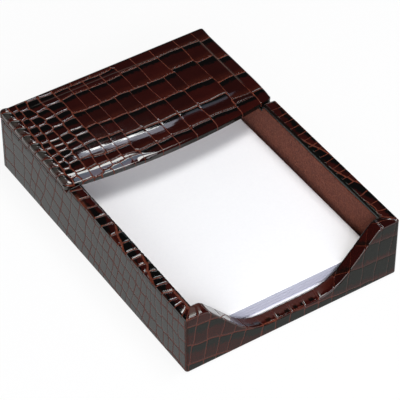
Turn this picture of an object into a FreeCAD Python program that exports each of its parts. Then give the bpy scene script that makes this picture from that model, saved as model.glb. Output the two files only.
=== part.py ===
import FreeCAD, Part
import math
import os

# A leather-covered memo tray with a fixed hood over its rear and a finger scoop in its front wall.
# Millimetres, +Z up, front towards -Y, origin on the desk under the middle of the footprint.

# The sheets that the tray is made for
sheet_width = 101.6
sheet_length = 152.4
stack_height = 10.5

# Free room round the stack
side_gap = 2.0
front_gap = 0.4
rear_gap = 2.8

# Layers of the walls and the base
leather = 1.0
wall_board = 5.4
lining = 0.8
base_board = 2.0
base_felt = 0.8
felt_inset = 3.0
felt_corner = 3.0

# Leather edges: turned under the base and the hood, and turned in over the rim
turn_under = 12.0
turn_in = 2.0
lining_gap = 0.2
fill_gap = 0.5
corner_round = 1.5
rim_round = 1.0
foot_round = 0.7

# Tray depth and the finger scoop in the front wall
tray_depth = 31.1
scoop_sill = 3.4
scoop_land = 9.0
scoop_fillet = 26.0
scoop_shoulder = 5.5
scoop_slope = 48.0

# The hood: a padded panel that stands a little above the rim, with a bowed, rolled front
hood_length = 68.8
hood_bow = 5.1
hood_rise = 1.5
hood_board = 2.0
hood_padding = 1.0
hood_fall = 18.0
hood_drop = 1.0
hood_edge = 1.2
hood_board_setback = 6.0
notch_gap = 2.0
step_round = 1.8

# Worked out from the values above
inner_half_width = sheet_width / 2 + side_gap
inner_half_length = (sheet_length + front_gap + rear_gap) / 2
wall = leather + wall_board + lining
half_width = inner_half_width + wall
half_length = inner_half_length + wall

leather_foot = base_felt
board_foot = leather_foot + leather
wall_foot = board_foot + base_board
floor = wall_foot + lining
rim = floor + tray_depth
sill = floor + scoop_sill
hood_top = rim + hood_rise
hood_thickness = leather + hood_board + hood_padding + leather
hood_nose = (hood_thickness - hood_drop) / 2
seam = hood_top - hood_thickness

nose_y = half_length - hood_length
bow_radius = (half_width ** 2 + hood_bow ** 2) / (2 * hood_bow)
bow_centre_y = nose_y + bow_radius
step_y = nose_y + hood_bow - notch_gap

# How far cutting tools run past the faces that they cut, and how near counts as the same place
overrun = 5.0
near = 0.01


def point(x, y, z):
    return FreeCAD.Vector(x, y, z)


def block(x0, x1, y0, y1, z0, z1):
    return Part.makeBox(x1 - x0, y1 - y0, z1 - z0, point(x0, y0, z0))


def line(a, b):
    return Part.LineSegment(a, b).toShape()


def arc(a, middle, b):
    return Part.Arc(a, middle, b).toShape()


def scoop_cut(drop):
    """The scoop's outline carried through the front wall, lowered by drop below the leather's face."""
    slope = math.radians(scoop_slope)
    shoulder_x = half_width - scoop_land
    depth = rim - sill
    radii = scoop_fillet + scoop_shoulder
    flat_x = shoulder_x - (radii + (depth - radii) * math.cos(slope)) / math.sin(slope)
    fillet_z = sill + scoop_fillet
    shoulder_z = rim - scoop_shoulder
    fillet_radius = scoop_fillet + drop
    shoulder_radius = scoop_shoulder - drop
    front_y = -half_length - overrun

    def on_fillet(turn, side):
        x = flat_x + fillet_radius * math.sin(turn)
        return point(side * x, front_y, fillet_z - fillet_radius * math.cos(turn))

    def on_shoulder(turn, side):
        x = shoulder_x - shoulder_radius * math.sin(turn)
        return point(side * x, front_y, shoulder_z + shoulder_radius * math.cos(turn))

    above = rim + overrun
    edges = []
    for side in (-1, 1):
        edges.append(arc(on_fillet(0, side), on_fillet(slope / 2, side), on_fillet(slope, side)))
        edges.append(line(on_fillet(slope, side), on_shoulder(slope, side)))
        edges.append(arc(on_shoulder(slope, side), on_shoulder(slope / 2, side), on_shoulder(0, side)))
        edges.append(line(on_shoulder(0, side), point(side * shoulder_x, front_y, above)))
    edges.append(line(on_fillet(0, -1), on_fillet(0, 1)))
    edges.append(line(point(-shoulder_x, front_y, above), point(shoulder_x, front_y, above)))
    outline = Part.Wire(Part.__sortEdges__(edges))
    return Part.Face(outline).extrude(point(0, wall + 2 * overrun, 0))


def tray_block(inset, drop):
    """The tray's outer envelope without its hollow: sides and foot moved in, rim, scoop and step lowered."""
    front = -half_length + inset
    back = half_length - inset
    foot = leather_foot + inset
    corners = [
        point(0, front, foot),
        point(0, back, foot),
        point(0, back, seam - drop),
        point(0, step_y - drop, seam - drop),
        point(0, step_y - drop, rim - drop),
        point(0, front, rim - drop),
    ]
    width = 2 * (half_width - inset)
    side_face = Part.Face(Part.makePolygon(corners + corners[:1]))
    side_face.translate(point(-width / 2, 0, 0))
    return side_face.extrude(point(width, 0, 0)).cut(scoop_cut(drop))


def tray_hollow(grow, foot):
    """The space between the wall linings, grown sideways, open at the top."""
    x = inner_half_width + grow
    y = inner_half_length + grow
    return block(-x, x, -y, y, foot, hood_top + overrun)


def same(a, b):
    return abs(a - b) < near


def lies_on(edge, x=None, y=None, z=None):
    """Whether an edge lies wholly in the planes at plus or minus x, at y and at z, those that are given."""
    box = edge.BoundBox
    on_x = x is None or (box.XLength < near and same(abs(box.Center.x), x))
    on_y = y is None or (box.YLength < near and same(box.Center.y, y))
    on_z = z is None or (box.ZLength < near and same(box.Center.z, z))
    return on_x and on_y and on_z


def upright_edges(shape, x, y):
    """The vertical edges of a shape at the four corners of a plan."""
    return [edge for edge in shape.Edges if lies_on(edge, x=x, y=y) or lies_on(edge, x=x, y=-y)]


def rim_edges(shape):
    """The edges along the rim, the scoop and the step, inside and out, where the leather rolls over."""
    found = []
    for edge in shape.Edges:
        box = edge.BoundBox
        upright = box.XLength < near and box.YLength < near
        in_reach = box.ZMin > sill - near and box.YMax < step_y + near
        outside = lies_on(edge, x=half_width) or lies_on(edge, y=-half_length)
        inside = lies_on(edge, x=inner_half_width) or lies_on(edge, y=-inner_half_length)
        front_corner = lies_on(edge, z=rim) and box.YMax < -half_length + corner_round + near
        if in_reach and not upright and (outside or inside or front_corner):
            found.append(edge)
    return found


def leather_outside():
    """The tray as the leather's face shows it, hollow, with its edges rolled over."""
    shape = tray_block(0, 0)
    shape = shape.makeFillet(step_round, [edge for edge in shape.Edges if lies_on(edge, y=step_y, z=rim)])
    shape = shape.makeFillet(corner_round, upright_edges(shape, half_width, half_length))
    foot = [edge for edge in shape.Edges if lies_on(edge, z=leather_foot)]
    shape = shape.makeFillet(foot_round, foot).cut(tray_hollow(0, floor))
    return shape.makeFillet(rim_round, rim_edges(shape))


def wall_leather():
    """All the leather of the walls as one skin: outer face, rim, turned-in lip and turned-under edge."""
    outside = leather_outside()
    skin = outside.cut(tray_block(leather, leather))
    lip = outside.common(tray_hollow(lining, floor)).cut(tray_block(0, turn_in))
    x = half_width - turn_under
    y = half_length - turn_under
    underside = block(-x, x, -y, y, leather_foot - overrun, board_foot + overrun)
    return skin.fuse(lip).cut(underside).removeSplitter()


def mitre_wedges():
    """Upright prisms that part the skin along the diagonals of the four corners."""
    reach = max(turn_under, wall) + overrun
    outer = [(-half_width, -half_length), (half_width, -half_length),
             (half_width, half_length), (-half_width, half_length)]
    inner = [(x - math.copysign(reach, x), y - math.copysign(reach, y)) for x, y in outer]
    wedges = {}
    for index, name in enumerate(("front", "right", "back", "left")):
        after = (index + 1) % 4
        ring = [outer[index], outer[after], inner[after], inner[index], outer[index]]
        face = Part.Face(Part.makePolygon([point(x, y, 0) for x, y in ring]))
        wedges[name] = face.extrude(point(0, 0, hood_top))
    return wedges


def wall_boards():
    """The four boards of the carcass: front and back run the full width, the sides stand between them."""
    core = tray_block(leather, leather)
    out_x = half_width - leather
    out_y = half_length - leather
    in_x = inner_half_width + lining
    in_y = inner_half_length + lining
    return {
        "front": core.common(block(-out_x, out_x, -out_y, -in_y, wall_foot, rim)),
        "back": core.common(block(-out_x, out_x, in_y, out_y, wall_foot, rim)),
        "left": core.common(block(-out_x, -in_x, -in_y, in_y, wall_foot, rim)),
        "right": core.common(block(in_x, out_x, -in_y, in_y, wall_foot, rim)),
    }


def wall_linings():
    """Suede sheets on the walls' inner faces, up to the leather's turned-in lip."""
    ring = tray_hollow(lining, floor).cut(tray_hollow(0, floor))
    ring = ring.common(tray_block(0, turn_in + lining_gap))
    out_x = inner_half_width + lining
    out_y = inner_half_length + lining
    in_x = inner_half_width
    in_y = inner_half_length
    return {
        "front": ring.common(block(-out_x, out_x, -out_y, -in_y, floor, rim)),
        "back": ring.common(block(-out_x, out_x, in_y, out_y, floor, rim)),
        "left": ring.common(block(-out_x, -in_x, -in_y, in_y, floor, rim)),
        "right": ring.common(block(in_x, out_x, -in_y, in_y, floor, rim)),
    }


def hood_envelope(inset):
    """The hood's body: a panel whose top falls gently into a rolled nose, carried round a wide bow."""
    reach = hood_fall - hood_nose
    fall_less_nose = (reach ** 2 + hood_drop ** 2) / (2 * hood_drop)
    tilt = math.asin(reach / fall_less_nose)
    nose_radius = hood_nose - inset
    fall_radius = fall_less_nose + hood_nose - inset
    nose_centre = (nose_y + hood_nose, seam + hood_nose)
    fall_centre = (nose_y + hood_fall, hood_top - fall_less_nose - hood_nose)

    def on_arc(centre, radius, turn):
        return point(0, centre[0] - radius * math.sin(turn), centre[1] + radius * math.cos(turn))

    rear = half_length + overrun
    top_start = on_arc(fall_centre, fall_radius, 0)
    fall_end = on_arc(fall_centre, fall_radius, tilt)
    nose_end = on_arc(nose_centre, nose_radius, math.pi)
    edges = [
        line(point(0, rear, hood_top - inset), top_start),
        arc(top_start, on_arc(fall_centre, fall_radius, tilt / 2), fall_end),
        arc(fall_end, on_arc(nose_centre, nose_radius, (tilt + math.pi) / 2), nose_end),
        line(nose_end, point(0, rear, seam + inset)),
        line(point(0, rear, seam + inset), point(0, rear, hood_top - inset)),
    ]
    profile = Part.Face(Part.Wire(edges))
    sweep = 2 * math.degrees(math.atan2(half_width, bow_centre_y - rear)) + overrun
    axis = point(0, bow_centre_y, 0)
    profile.rotate(axis, point(0, 0, 1), -sweep / 2)
    body = profile.revolve(axis, point(0, 0, 1), sweep)
    x = half_width - inset
    return body.common(block(-x, x, nose_y - overrun, half_length - inset, seam, hood_top))


def hood_outside():
    """The hood as the leather's outer face shows it, with its side and rear edges rolled over."""
    shape = hood_envelope(0)
    shape = shape.makeFillet(corner_round, upright_edges(shape, half_width, half_length))
    over = []
    for edge in shape.Edges:
        along_back = edge.BoundBox.YMin > half_length - corner_round - near
        if lies_on(edge, z=hood_top) and (lies_on(edge, x=half_width) or along_back):
            over.append(edge)
    return shape.makeFillet(hood_edge, over)


def hood_panel():
    """The stiff panel in the hood, its front edge set back behind the foam of the nose."""
    x = half_width - leather
    foot = seam + leather
    plan = block(-x, x, nose_y, half_length - leather, foot, foot + hood_board)
    bow = Part.makeCylinder(bow_radius - hood_board_setback, hood_board, point(0, bow_centre_y, foot))
    return plan.common(bow)


def hood_underside():
    """The opening in the leather's turned-under edge, which the hood's lining fills."""
    x = half_width - turn_under
    return block(-x, x, nose_y + hood_bow + turn_under, half_length - turn_under, seam, seam + leather)


def hood_pieces():
    inside = hood_envelope(leather)
    panel = hood_panel()
    opening = hood_underside()
    return {
        "hood_leather": hood_outside().cut(inside).cut(opening),
        "hood_padding": inside.cut(panel),
        "hood_board": panel,
        "hood_lining": opening,
    }


def flat_felt():
    x = half_width - felt_inset
    y = half_length - felt_inset
    sheet = block(-x, x, -y, y, 0, base_felt)
    return sheet.makeFillet(felt_corner, upright_edges(sheet, x, y))


def memo_stack():
    y = -inner_half_length + front_gap
    return block(-sheet_width / 2, sheet_width / 2, y, y + sheet_length, floor, floor + stack_height)


def base_pieces():
    out_x = half_width - leather
    out_y = half_length - leather
    in_x = inner_half_width + lining
    in_y = inner_half_length + lining
    card_x = half_width - turn_under - fill_gap
    card_y = half_length - turn_under - fill_gap
    return {
        "base_board": block(-out_x, out_x, -out_y, out_y, board_foot, wall_foot),
        "floor_lining": block(-in_x, in_x, -in_y, in_y, wall_foot, floor),
        "fill_card": block(-card_x, card_x, -card_y, card_y, leather_foot, board_foot),
        "base_felt": flat_felt(),
    }


def all_pieces():
    pieces = base_pieces()
    skin = wall_leather()
    for side, wedge in mitre_wedges().items():
        pieces[side + "_leather"] = skin.common(wedge)
    for side, board in wall_boards().items():
        pieces[side + "_wall_board"] = board
    for side, sheet in wall_linings().items():
        pieces[side + "_lining"] = sheet
    pieces.update(hood_pieces())
    pieces["memo_stack"] = memo_stack()
    return pieces


os.makedirs("parts", exist_ok=True)
for name, shape in sorted(all_pieces().items()):
    shape.exportStep(os.path.join("parts", name + ".step"))
    print(name, len(shape.Solids), "solid,", round(shape.Volume, 1), "mm3, valid", shape.isValid())
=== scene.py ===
import math

import bmesh
import bpy
import numpy as np
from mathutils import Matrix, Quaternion, Vector


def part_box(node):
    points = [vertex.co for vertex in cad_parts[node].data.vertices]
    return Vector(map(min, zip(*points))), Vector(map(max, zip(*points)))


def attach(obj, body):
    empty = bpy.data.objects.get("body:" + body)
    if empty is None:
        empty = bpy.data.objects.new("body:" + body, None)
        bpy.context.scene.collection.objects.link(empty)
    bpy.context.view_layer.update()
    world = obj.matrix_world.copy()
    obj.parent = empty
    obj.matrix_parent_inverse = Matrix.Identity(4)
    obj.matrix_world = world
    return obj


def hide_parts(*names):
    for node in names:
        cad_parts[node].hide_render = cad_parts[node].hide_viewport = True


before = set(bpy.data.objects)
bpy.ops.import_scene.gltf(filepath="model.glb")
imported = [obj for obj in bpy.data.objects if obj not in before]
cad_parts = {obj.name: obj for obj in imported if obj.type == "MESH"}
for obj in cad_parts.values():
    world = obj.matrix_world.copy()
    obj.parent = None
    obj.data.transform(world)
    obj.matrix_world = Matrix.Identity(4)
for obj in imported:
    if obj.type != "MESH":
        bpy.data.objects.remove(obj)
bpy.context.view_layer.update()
print("frame loaded:", len(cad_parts), "nodes")

# the tray's measures in millimetres, as its boards and hides were cut
tray = {
    "halfWidth": 60.0, "halfLength": 85.0, "wall": 7.2, "foot": 0.8, "floor": 4.6,
    "rim": 35.7, "seam": 32.2, "hoodTop": 37.2, "leather": 1.0, "lining": 0.8,
    "cornerRound": 1.5, "rimRound": 1.0, "footRound": 0.7, "turnUnder": 12.0, "turnIn": 2.0,
}


def ease(low, high, x):
    # 0 below low, 1 above high, a smooth cubic between
    t = np.clip((x - low) / (high - low), 0.0, 1.0)
    return t * t * (3.0 - 2.0 * t)


def drift(u, v, size, seed):
    # slow wander between about -1 and 1: five sine waves in seeded directions, each about size long
    rng = np.random.default_rng(seed)
    total = np.zeros(np.broadcast(u, v).shape)
    for angle, phase, stretch in rng.uniform((0, 0, 0.7), (6.283, 6.283, 1.4), (5, 3)):
        reach = 2 * math.pi / (size * stretch)
        total += np.sin(reach * (u * math.cos(angle) + v * math.sin(angle)) + phase)
    return total / 2.6


def run(start, end, step):
    # evenly spaced values from start to end, both included, about a step apart
    return np.linspace(start, end, max(2, int(math.ceil(abs(end - start) / step)) + 1))


def loopFaces(rows, cols):
    # quads of a closed section of so many points carried along so many stations
    r = np.arange(rows)[:, None] * cols
    n = ((np.arange(rows) + 1) % rows)[:, None] * cols
    c = np.arange(cols - 1)[None, :]
    return np.stack([r + c, r + c + 1, n + c + 1, n + c], axis=-1).reshape(-1, 4)


def putPiece(name, points, look, body, nodes, marks=None):
    # points is a closed section by stations grid in millimetres; one flat face closes each end
    rows, cols = points.shape[:2]
    quads = loopFaces(rows, cols)
    ends = [np.arange(rows) * cols, np.arange(rows)[::-1] * cols + cols - 1]
    corners = np.concatenate([quads.ravel(), *ends]).astype(np.int32)
    starts = np.concatenate([np.arange(len(quads)) * 4, quads.size + np.array([0, rows])])
    mesh = bpy.data.meshes.new(name)
    mesh.vertices.add(rows * cols)
    mesh.vertices.foreach_set("co", (points.reshape(-1, 3) * 0.001).astype(np.float32).ravel())
    mesh.loops.add(len(corners))
    mesh.loops.foreach_set("vertex_index", corners)
    mesh.polygons.add(len(starts))
    mesh.polygons.foreach_set("loop_start", starts.astype(np.int32))
    mesh.polygons.foreach_set("use_smooth", np.arange(len(starts)) < len(quads))
    mesh.update(calc_edges=True)
    for mark, values in (marks or {}).items():
        layer = mesh.attributes.new(mark, "FLOAT", "POINT")
        layer.data.foreach_set("value", np.ascontiguousarray(values, np.float32).ravel())
    work = bmesh.new()
    work.from_mesh(mesh)
    bmesh.ops.recalc_face_normals(work, faces=work.faces)
    work.to_mesh(mesh)
    work.free()
    mesh.materials.append(look)
    piece = bpy.data.objects.new(name, mesh)
    bpy.context.scene.collection.objects.link(piece)
    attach(piece, body)
    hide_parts(*nodes)
    print("piece", name, rows, "by", cols)
    return piece


def gridNormals(points):
    # the cross product of the two grid directions, turned to unit length
    along = np.gradient(points, axis=1)
    across = np.roll(points, -1, 0) - np.roll(points, 1, 0)
    normal = np.cross(along, across)
    return normal / np.maximum(np.linalg.norm(normal, axis=-1, keepdims=True), 1e-9)


# materials

def toLinear(text):
    # an sRGB hex colour as linear red, green, blue and a full alpha
    parts = [int(text[i:i + 2], 16) / 255 for i in (1, 3, 5)]
    return (*[c / 12.92 if c <= 0.04045 else ((c + 0.055) / 1.055) ** 2.4 for c in parts], 1.0)


def addNode(tree, kind, inputs=None, **settings):
    # an input that is given another node's output is linked to it, and any other input takes the value
    node = tree.nodes.new(kind)
    for key, value in settings.items():
        setattr(node, key, value)
    for key, value in (inputs or {}).items():
        if isinstance(value, bpy.types.NodeSocket):
            tree.links.new(value, node.inputs[key])
        else:
            node.inputs[key].default_value = value
    return node


def startMaterial(name, finish):
    # one shader on the output, with the values that are the same all over, and the object's own
    # coordinates
    material = bpy.data.materials.new(name)
    material.use_nodes = True
    tree = material.node_tree
    tree.nodes.clear()
    shader = addNode(tree, "ShaderNodeBsdfPrincipled", finish)
    addNode(tree, "ShaderNodeOutputMaterial", {"Surface": shader.outputs[0]})
    return material, tree, shader, addNode(tree, "ShaderNodeTexCoord").outputs["Object"]


croc = {
    "body": "#200605", "bodyRed": "#370d09", "burnish": "#050404", "waxed": "#0c0d0b",
    # paintedSheen is a painted reflection: a dull grey laid on the hood's creases and beads
    "groove": "#4a1e13", "grooveLight": "#6c3220", "grooveWaxed": "#4a231c", "paintedSheen": "#56514b",
    "line": 0.13, "lineFade": 0.2,  # half width of a groove's rust line and its soft edge, mm
    "ragged": 0.7, "burnFade": 0.08,  # how far the edge of a tile's black side strays, and its softness
    "rustFront": 0.25,  # share of rust on a tile's front side
    "gloss": 0.03, "glossWorn": 0.06, "glossBare": 0.5,  # roughness: fresh glaze, worn glaze, no glaze
    "poreSize": 0.35, "mottleSize": 5.0, "fraySize": 1.1, "hatchSize": 0.9, "hatchLength": 9.09,  # mm
    "poreDepth": 0.012, "hatchDepth": 5.0,  # tenths of a millimetre
}


def crocLeather():
    # chrome-tanned calf, plated with a tile pattern, waxed, and glazed on the hood and rims: near-mirror
    # maroon tiles that turn black towards one edge and rusty towards the other, duller rust in the
    # grooves, and fine creases across the folds. Marks on the mesh give the distance to a groove, where a
    # tile turns black, where the finish is rubbed, dull or without glaze, and where a painted reflection,
    # a dull grey, is laid over the leather
    material, tree, shader, place = startMaterial("calf leather, plate-embossed and glazed", {
        "IOR": 1.265, "Coat IOR": 1.45, "Coat Roughness": 0.04, "Specular Tint": (0.95, 1.0, 0.88, 1.0)})
    gap, shade, front, tint, hatch, rub, paintedSheen, glaze = [
        addNode(tree, "ShaderNodeAttribute", attribute_name=mark).outputs["Fac"]
        for mark in ("gap", "shade", "front", "tint", "hatch", "rub", "paintedSheen", "glaze")]
    mottle = addNode(tree, "ShaderNodeTexNoise", {
        "Vector": place, "Scale": 1000 / croc["mottleSize"], "Detail": 4.0, "Roughness": 0.6})
    fray = addNode(tree, "ShaderNodeTexNoise", {
        "Vector": place, "Scale": 1000 / croc["fraySize"], "Detail": 3.0, "Roughness": 0.6})
    pores = addNode(tree, "ShaderNodeTexNoise", {
        "Vector": place, "Scale": 1000 / croc["poreSize"], "Detail": 2.0})
    drawn = addNode(tree, "ShaderNodeMapping", {
        "Vector": place,
        "Scale": (1000 / croc["hatchSize"], 1000 / croc["hatchLength"], 1000 / croc["hatchLength"])})
    strokes = addNode(tree, "ShaderNodeTexNoise", {"Vector": drawn.outputs[0], "Scale": 1.0, "Detail": 1.0})
    groove = addNode(tree, "ShaderNodeMapRange", {
        "Value": gap, "From Min": croc["line"], "From Max": croc["line"] + croc["lineFade"], "To Min": 1.0,
        "To Max": 0.0}, interpolation_type="SMOOTHSTEP")
    bare = addNode(tree, "ShaderNodeMath", {0: groove.outputs[0], 1: rub}, operation="MAXIMUM")
    frayed = addNode(tree, "ShaderNodeMath", {
        0: fray.outputs["Fac"], 1: croc["ragged"], 2: shade}, operation="MULTIPLY_ADD")
    black = addNode(tree, "ShaderNodeMapRange", {
        "Value": frayed.outputs[0], "From Min": croc["ragged"] / 2 - croc["burnFade"],
        "From Max": croc["ragged"] / 2 + croc["burnFade"]}, interpolation_type="SMOOTHSTEP")
    share = addNode(tree, "ShaderNodeMath", {0: mottle.outputs["Fac"], 1: tint}, operation="MULTIPLY")
    body = addNode(tree, "ShaderNodeMix", {
        0: share.outputs[0], 6: toLinear(croc["body"]), 7: toLinear(croc["bodyRed"])}, data_type="RGBA")
    burnish = addNode(tree, "ShaderNodeMix", {
        0: glaze, 6: toLinear(croc["waxed"]), 7: toLinear(croc["burnish"])}, data_type="RGBA")
    tile = addNode(tree, "ShaderNodeMix", {
        0: black.outputs[0], 6: body.outputs[2], 7: burnish.outputs[2]}, data_type="RGBA")
    patchy = addNode(tree, "ShaderNodeMapRange", {
        "Value": fray.outputs["Fac"], "From Min": 0.4, "From Max": 0.65})
    rust = addNode(tree, "ShaderNodeMix", {
        0: patchy.outputs[0], 6: toLinear(croc["groove"]), 7: toLinear(croc["grooveLight"])},
        data_type="RGBA")
    earth = addNode(tree, "ShaderNodeMix", {
        0: glaze, 6: toLinear(croc["grooveWaxed"]), 7: rust.outputs[2]}, data_type="RGBA")
    warm = addNode(tree, "ShaderNodeMath", {
        0: front, 1: croc["rustFront"], 2: bare.outputs[0]}, operation="MULTIPLY_ADD", use_clamp=True)
    rusty = addNode(tree, "ShaderNodeMix", {
        0: warm.outputs[0], 6: tile.outputs[2], 7: earth.outputs[2]}, data_type="RGBA")
    # last, the painted reflection's grey goes over the tile's colour
    colour = addNode(tree, "ShaderNodeMix", {
        0: paintedSheen, 6: rusty.outputs[2], 7: toLinear(croc["paintedSheen"])}, data_type="RGBA")
    tree.links.new(colour.outputs[2], shader.inputs["Base Color"])
    gloss = addNode(tree, "ShaderNodeMapRange", {
        "Value": mottle.outputs["Fac"], "From Min": 0.3, "From Max": 0.7, "To Min": croc["gloss"],
        "To Max": croc["glossWorn"]})
    worn = addNode(tree, "ShaderNodeMath", {0: bare.outputs[0], 1: paintedSheen}, operation="MAXIMUM")
    dull = addNode(tree, "ShaderNodeMix", {
        0: worn.outputs[0], 2: gloss.outputs[0], 3: croc["glossBare"]})
    tree.links.new(dull.outputs[0], shader.inputs["Roughness"])
    kept = addNode(tree, "ShaderNodeMath", {0: 1.0, 1: worn.outputs[0]}, operation="SUBTRACT")
    coat = addNode(tree, "ShaderNodeMath", {0: kept.outputs[0], 1: glaze}, operation="MULTIPLY")
    tree.links.new(coat.outputs[0], shader.inputs["Coat Weight"])
    crease = addNode(tree, "ShaderNodeMath", {0: strokes.outputs["Fac"], 1: hatch}, operation="MULTIPLY")
    fine = addNode(tree, "ShaderNodeMath", {
        0: pores.outputs["Fac"], 1: croc["poreDepth"]}, operation="MULTIPLY")
    grain = addNode(tree, "ShaderNodeMath", {
        0: crease.outputs[0], 1: croc["hatchDepth"], 2: fine.outputs[0]}, operation="MULTIPLY_ADD")
    bump = addNode(tree, "ShaderNodeBump", {"Distance": 0.0001, "Height": grain.outputs[0]})
    tree.links.new(bump.outputs[0], shader.inputs["Normal"])
    tree.links.new(bump.outputs[0], shader.inputs["Coat Normal"])
    return material


suede = {"nap": "#6f3423", "napDark": "#472014", "napLight": "#8f4f38", "fibre": 0.5, "brushed": 4.0}


def suedeLining():
    # split hide, sanded to a short nap: matt brown, mottled where the nap was brushed two ways
    material, tree, shader, place = startMaterial("split hide, sanded to suede", {
        "Roughness": 0.95, "Specular IOR Level": 0.2, "Sheen Weight": 0.08, "Sheen Roughness": 0.5})
    fibre = addNode(tree, "ShaderNodeTexNoise", {
        "Vector": place, "Scale": 1000 / suede["fibre"] / 2, "Detail": 3.0, "Roughness": 0.7})
    brushed = addNode(tree, "ShaderNodeTexNoise", {
        "Vector": place, "Scale": 1000 / suede["brushed"], "Detail": 5.0, "Roughness": 0.6})
    nap = addNode(tree, "ShaderNodeMix", {
        0: brushed.outputs["Fac"], 6: toLinear(suede["napDark"]), 7: toLinear(suede["nap"])},
        data_type="RGBA")
    share = addNode(tree, "ShaderNodeMapRange", {
        "Value": fibre.outputs["Fac"], "From Min": 0.42, "From Max": 0.68, "To Min": 0.0, "To Max": 0.7})
    colour = addNode(tree, "ShaderNodeMix", {
        0: share.outputs[0], 6: nap.outputs[2], 7: toLinear(suede["napLight"])}, data_type="RGBA")
    tree.links.new(colour.outputs[2], shader.inputs["Base Color"])
    bump = addNode(tree, "ShaderNodeBump", {
        "Strength": 0.5, "Distance": 0.0002, "Height": fibre.outputs["Fac"]})
    tree.links.new(bump.outputs[0], shader.inputs["Normal"])
    return material


# cut is painted shade: a lavender grey on the cut edges of the upper sheets
paper = {"sheet": "#f8f8f8", "shade": "#efeff1", "cut": "#aeafbf", "fibre": 1.4}


def writingPaper():
    # uncoated bond paper, machine finished: white with cloudy fibre, and painted shade, a lavender grey, on
    # the cut edges
    material, tree, shader, place = startMaterial("uncoated bond paper, machine finished", {
        "Roughness": 0.85, "Specular IOR Level": 0.2})
    fibre = addNode(tree, "ShaderNodeTexNoise", {
        "Vector": place, "Scale": 1000 / paper["fibre"], "Detail": 6.0, "Roughness": 0.7})
    edge = addNode(tree, "ShaderNodeAttribute", attribute_name="paintedEdgeShade").outputs["Fac"]
    share = addNode(tree, "ShaderNodeMapRange", {
        "Value": fibre.outputs["Fac"], "From Min": 0.35, "From Max": 0.75, "To Min": 0.0, "To Max": 0.4})
    cloud = addNode(tree, "ShaderNodeMix", {
        0: share.outputs[0], 6: toLinear(paper["sheet"]), 7: toLinear(paper["shade"])}, data_type="RGBA")
    colour = addNode(tree, "ShaderNodeMix", {
        0: edge, 6: cloud.outputs[2], 7: toLinear(paper["cut"])}, data_type="RGBA")
    tree.links.new(colour.outputs[2], shader.inputs["Base Color"])
    bump = addNode(tree, "ShaderNodeBump", {
        "Strength": 0.1, "Distance": 0.0001, "Height": fibre.outputs["Fac"]})
    tree.links.new(bump.outputs[0], shader.inputs["Normal"])
    return material


fibreLooks = {  # size is a fibre's width in mm, and stretch how many times finer they lie along y
    "felt": {
        "name": "wool felt, pressed", "dark": "#191716", "light": "#34302d", "size": 0.5, "stretch": 1.0},
    "board": {
        "name": "fibreboard, sawn", "dark": "#8d6a45", "light": "#b08a5e", "size": 0.6, "stretch": 1.0},
    "card": {
        "name": "grey pasteboard, rolled", "dark": "#77716a", "light": "#9a938a", "size": 0.8,
        "stretch": 4.0},
}


def fibreMaterial(kind):
    # matted fibres without gloss: near-black wool felt, tan fibreboard, grey pasteboard
    look = fibreLooks[kind]
    material, tree, shader, place = startMaterial(look["name"], {"Roughness": 0.95})
    laid = addNode(tree, "ShaderNodeMapping", {"Vector": place, "Scale": (1.0, look["stretch"], 1.0)})
    fibre = addNode(tree, "ShaderNodeTexNoise", {
        "Vector": laid.outputs[0], "Scale": 1000 / look["size"] / 2, "Detail": 5.0, "Roughness": 0.75})
    colour = addNode(tree, "ShaderNodeMix", {
        0: fibre.outputs["Fac"], 6: toLinear(look["dark"]), 7: toLinear(look["light"])}, data_type="RGBA")
    tree.links.new(colour.outputs[2], shader.inputs["Base Color"])
    bump = addNode(tree, "ShaderNodeBump", {
        "Strength": 0.6, "Distance": 0.0003, "Height": fibre.outputs["Fac"]})
    tree.links.new(bump.outputs[0], shader.inputs["Normal"])
    return material


crocLook = crocLeather()
suedeLook = suedeLining()
paperLook = writingPaper()
feltLook = fibreMaterial("felt")
boardLook = fibreMaterial("board")
cardLook = fibreMaterial("card")
print("materials made")


# the embossed pattern

emboss = {
    "rowLine": 1.1, "columnLine": 1.0,  # widths of the rust lines
    "leanAbout": 18.0,  # height on the walls about which the columns lean
}


def throughKnots(knots, x):
    # straight lines through the given points, read at x
    return np.interp(x, *np.array(knots).T)


def tileSeeds(columns, rows, seed, jitter):
    # one centre for each tile between the given column and row lines: u, v, half width, half height, tint
    rng = np.random.default_rng(seed)
    u, v = np.meshgrid((columns[1:] + columns[:-1]) / 2, (rows[1:] + rows[:-1]) / 2)
    w, h = np.meshgrid(np.diff(columns) / 2, np.diff(rows) / 2)
    u = u + jitter * rng.uniform(-1, 1, u.shape)
    v = v + 0.6 * jitter * rng.uniform(-1, 1, u.shape)
    return np.stack([u, v, w, h, rng.uniform(0, 1, u.shape)], axis=-1).reshape(-1, 5)


def slanted(u, v, knots):
    # turns the pattern's own axes: rows climb with the slope given at each place along u, and columns
    # lean so that they stay square to the rows
    place = np.linspace(-140, 140, 561)
    slope = throughKnots(knots, place)
    climb = np.cumsum(slope) * (place[1] - place[0])
    climb = climb - np.interp(knots[0][0], place, climb)
    return u + np.interp(u, place, slope) * (v - emboss["leanAbout"]), v - np.interp(u, place, climb)


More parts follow.
